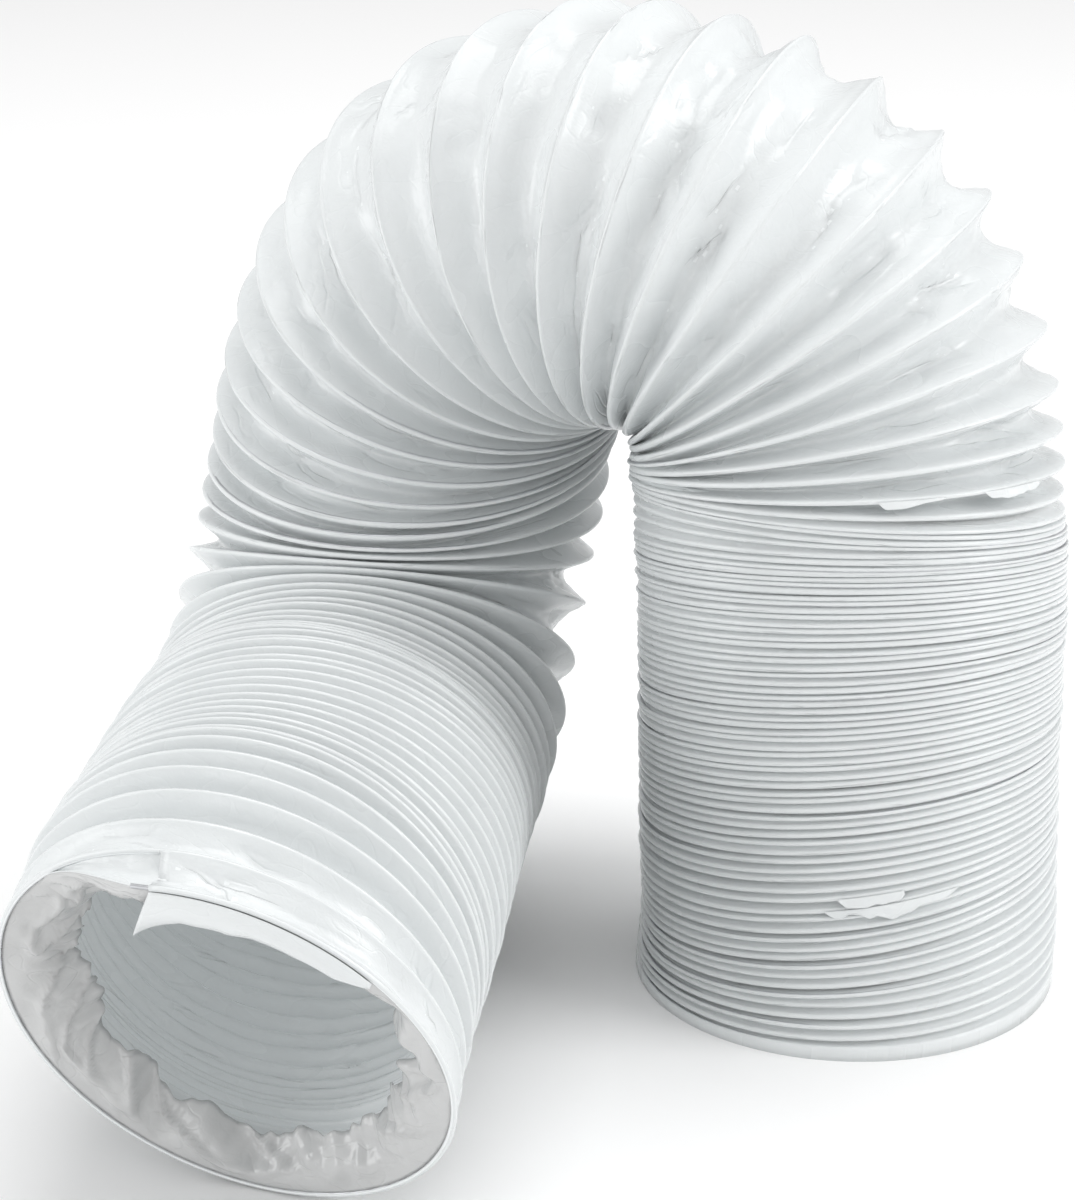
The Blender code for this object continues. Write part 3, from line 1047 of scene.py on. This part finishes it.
def grow(seed: bpy.types.Object, tree: bpy.types.GeometryNodeTree, inputs: dict,
         name: str) -> bpy.types.Object:
    """Runs a node tree on an object and keeps the result as a plain mesh.

    Args:
        seed: object that the tree starts from; it is removed.
        tree: the node tree.
        inputs: value of each named input.
        name: name of the finished piece.

    Returns:
        The finished piece.
    """
    modifier = seed.modifiers.new(tree.name, 'NODES')
    modifier.node_group = tree
    for item in tree.interface.items_tree:
        if item.in_out == "INPUT" and item.name in inputs:
            modifier[item.identifier] = inputs[item.name]
    graph = bpy.context.evaluated_depsgraph_get()
    mesh = bpy.data.meshes.new_from_object(seed.evaluated_get(graph), depsgraph=graph)
    mesh.name = name
    piece = bpy.data.objects.new(name, mesh)
    bpy.context.scene.collection.objects.link(piece)
    bpy.data.objects.remove(seed, do_unlink=True)
    return piece


def film_surface() -> bpy.types.ShaderNodeTree:
    """Shader group for the film's small creases, pimples and uneven gloss, all as plain values.

    Returns:
        The group, with the colour factor, gloss and bump height that its users feed on.
    """
    tree = bpy.data.node_groups.new("film_surface", "ShaderNodeTree")
    face = tree.interface
    face.new_socket("Place", in_out="INPUT", socket_type="NodeSocketVector")
    for name in ("Share", "Roughness", "Crinkle", "Crease", "Stain"):
        face.new_socket(name, in_out="INPUT", socket_type="NodeSocketFloat")
    for name in ("Shade", "Roughness", "Height"):
        face.new_socket(name, in_out="OUTPUT", socket_type="NodeSocketFloat")
    w = Wiring(tree)
    source, sink = w.add("NodeGroupInput").outputs, w.add("NodeGroupOutput").inputs
    place = source["Place"]
    long = w.noise(place, (0.0065, 0.0065, 0.0042), 0.0)
    fold = w.spread(w.math("ABSOLUTE", w.math("SUBTRACT", long, 0.5)), 0.0, 0.05, 1.0, 0.0, True)
    short = w.noise(place, (0.0028, 0.0028, 0.0022), 1.0)
    grain = w.noise(place, (0.0006, 0.0006, 0.0006), 0.0)
    crumple = w.math("ADD", w.math("MULTIPLY", fold, -0.55), w.math("MULTIPLY", short, 1.3))
    height = w.math("ADD", w.math("MULTIPLY", crumple, source["Crinkle"]), w.math("MULTIPLY", grain, 0.04))
    share = source["Share"]
    away = w.math("MULTIPLY", w.math("MULTIPLY", share, w.math("SUBTRACT", 1.0, share)), 4.0)
    crease = w.math("MULTIPLY", crease_line(w, place, 0.05), w.spread(away, 0.5, 0.9, 0.0, 1.0, True))
    height = w.math("SUBTRACT", height, w.math("MULTIPLY", crease, source["Crease"]))
    patch = w.noise(place, (0.019, 0.019, 0.013), 1.0)
    gloss = w.math("MULTIPLY", w.math("SUBTRACT", patch, 0.5), 0.30)
    dull = w.spread(w.noise(place, (0.034, 0.034, 0.021), 2.0), 0.52, 0.78, 0.0, 1.0, True)
    w.feed(sink["Shade"], w.math("SUBTRACT", 1.0, w.math("MULTIPLY", dull, source["Stain"])))
    w.feed(sink["Roughness"], w.math("ADD", source["Roughness"], gloss, clamp=True))
    w.feed(sink["Height"], height)
    return tree


@dataclass(frozen=True)
class FilmFinish:
    """Thin white vinyl film, satin, with a faint cool cast; its inner side carries a painted glow in place of
    light coming through the film.
    """

    name: str
    colour: tuple[float, float, float] = (0.705, 0.728, 0.733)
    roughness: float = 0.27
    crinkle: float = 0.25
    crease: float = 0.25
    stain: float = 0.02
    painted_glow: float = 0.0              # painted glow on the film's inner side, standing in for light coming through the film

    def build(self, surface: bpy.types.ShaderNodeTree) -> bpy.types.Material:
        """The film's material.

        Args:
            surface: shader group of the film's surface.

        Returns:
            The material.
        """
        material = bpy.data.materials.new(self.name)
        material.use_nodes = True
        material.cycles.emission_sampling = 'NONE'
        w = Wiring(material.node_tree)
        shader = material.node_tree.nodes["Principled BSDF"]
        place = w.add("ShaderNodeAttribute", attribute_name="rest").outputs["Vector"]
        share = w.add("ShaderNodeAttribute", attribute_name="share").outputs["Fac"]
        inner = w.add("ShaderNodeAttribute", attribute_name="inner").outputs["Fac"]
        group = w.add("ShaderNodeGroup")
        group.node_tree = surface
        for name, value in (("Place", place), ("Share", share), ("Roughness", self.roughness),
                            ("Crinkle", self.crinkle), ("Crease", self.crease), ("Stain", self.stain)):
            w.feed(group.inputs[name], value)
        w.feed(shader.inputs["Base Color"], w.scaled(self.colour, group.outputs["Shade"]))
        w.feed(shader.inputs["Roughness"], group.outputs["Roughness"])
        bump = w.add("ShaderNodeBump")
        bump.inputs["Strength"].default_value = 1.0
        bump.inputs["Distance"].default_value = 0.0006
        w.feed(bump.inputs["Height"], group.outputs["Height"])
        w.feed(shader.inputs["Normal"], bump.outputs["Normal"])
        # painted glow: emission on the inner sheet only, in place of light coming through the film
        w.feed(shader.inputs["Emission Strength"], w.math("MULTIPLY", inner, self.painted_glow))
        shader.inputs["IOR"].default_value = 1.5
        shader.inputs["Emission Color"].default_value = (*self.colour, 1.0)
        return material


@dataclass(frozen=True)
class WireFinish:
    """Drawn steel wire."""

    colour: tuple[float, float, float] = (0.62, 0.63, 0.65)
    roughness: float = 0.38

    def build(self) -> bpy.types.Material:
        """The wire's material.

        Returns:
            The material.
        """
        material = bpy.data.materials.new("drawn_wire")
        material.use_nodes = True
        w = Wiring(material.node_tree)
        shader = material.node_tree.nodes["Principled BSDF"]
        shader.inputs["Metallic"].default_value = 1.0
        place = w.add("ShaderNodeTexCoord").outputs["Object"]
        scratch = w.noise(place, (0.0011, 0.0011, 0.0011), 3.0)
        tarnish = w.noise(place, (0.012, 0.012, 0.012), 2.0)
        w.feed(shader.inputs["Base Color"],
               w.scaled(self.colour, w.spread(tarnish, 0.35, 0.75, 1.0, 0.78, True)))
        rough = w.spread(scratch, 0.0, 1.0, self.roughness - 0.1, self.roughness + 0.1)
        w.feed(shader.inputs["Roughness"], rough)
        return material


@dataclass(frozen=True)
class Lamp:
    """Soft square lamp that faces the hose."""

    name: str
    place: tuple[float, float, float]
    size: float
    power: float
    aim: tuple[float, float, float] = (0.0, 0.0, 0.1)

    def build(self) -> None:
        """The lamp in the scene."""
        data = bpy.data.lights.new(self.name, 'AREA')
        data.size = self.size
        data.energy = self.power
        item = bpy.data.objects.new(self.name, data)
        bpy.context.scene.collection.objects.link(item)
        item.location = self.place
        item.rotation_euler = (Vector(self.aim) - Vector(self.place)).to_track_quat("-Z", "Y").to_euler()


@dataclass
class Studio:
    """White floor, soft light and the photograph's camera."""

    foot: Vector
    eye: tuple[float, float, float] = (-0.0753, -0.7317, 0.3679)   # camera from the foot's middle
    pitch: float = 20.5            # degrees that the camera looks down
    lens: float = 110.5
    floor_radius: float = 6.0
    floor_white: float = 0.92
    room_light: float = 0.66
    lamps: tuple[Lamp, ...] = (
        Lamp("overhead", (0.1, 0.3, 1.8), 1.4, 15.0),
        Lamp("front_low", (-0.9, -1.7, 0.22), 0.9, 5.5),
        Lamp("left", (-1.7, -0.3, 0.5), 1.0, 9.0),
        Lamp("right", (1.6, -0.5, 1.0), 1.0, 16.0),
    )

    def camera(self) -> None:
        """Camera that looks down at the hose from the front."""
        data = bpy.data.cameras.new("camera")
        data.sensor_fit = 'HORIZONTAL'
        data.sensor_width = 36.0
        data.lens = self.lens
        item = bpy.data.objects.new("camera", data)
        bpy.context.scene.collection.objects.link(item)
        item.location = self.foot + Vector(self.eye)
        item.rotation_euler = (math.radians(90 - self.pitch), 0.0, 0.0)
        bpy.context.scene.camera = item

    def floor(self) -> None:
        """Wide white floor."""
        shape = bmesh.new()
        bmesh.ops.create_circle(shape, cap_ends=True, segments=64, radius=self.floor_radius)
        mesh = bpy.data.meshes.new("floor")
        shape.to_mesh(mesh)
        shape.free()
        paint = bpy.data.materials.new("floor_paint")
        paint.use_nodes = True
        shader = paint.node_tree.nodes["Principled BSDF"]
        shader.inputs["Base Color"].default_value = (*[self.floor_white] * 3, 1.0)
        shader.inputs["Roughness"].default_value = 0.9
        mesh.materials.append(paint)
        item = bpy.data.objects.new("floor", mesh)
        bpy.context.scene.collection.objects.link(item)

    def build(self) -> None:
        """Everything that isn't the hose."""
        self.camera()
        self.floor()
        world = bpy.data.worlds.new("white_room")
        world.use_nodes = True
        back = world.node_tree.nodes["Background"]
        back.inputs["Color"].default_value = (1.0, 1.0, 1.0, 1.0)
        back.inputs["Strength"].default_value = self.room_light
        bpy.context.scene.world = world
        for lamp in self.lamps:
            lamp.build()
        bpy.context.scene.view_settings.view_transform = 'Standard'


def main() -> None:
    """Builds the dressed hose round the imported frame."""
    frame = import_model()
    mount = Vector(frame["record"]["mounts"][0]["pos_m"])
    angle = 2 * math.pi * PHASE
    foot = mount - Vector((math.cos(angle), math.sin(angle), 0.0)) * (RIM - CAD_FILM / 2)
    foot.z = FOOT_EDGE
    path = HosePath(foot)
    Studio(foot).build()
    surface = film_surface()
    # the film's inner side gets a painted glow in place of light coming through the film
    film = FilmFinish("satin_film", crinkle=0.08, painted_glow=0.15).build(surface)
    # the tucked film inside the mouth is the same white film; its darker grey colour is painted shade
    torn = FilmFinish("torn_film_painted_shade", (0.53, 0.535, 0.535), 0.18, 0.16, 0.1, 0.08).build(surface)
    pieces = FilmSleeve(path).build(film)
    pieces += MouthFilm(path).build(torn, film)
    pieces.append(TornStrips(path).build(film))
    for piece in pieces:
        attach(piece, "root")
        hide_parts("film_sleeve")
        LOG.info("%s: %d faces", piece.name, len(piece.data.polygons))
    wire = SpringWire(path).build(WireFinish().build())
    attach(wire, "root")
    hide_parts("spring_wire")
    LOG.info("%s: %d faces", wire.name, len(wire.data.polygons))


if __name__ == "__main__":
    logging.basicConfig(level=logging.INFO)
    main()
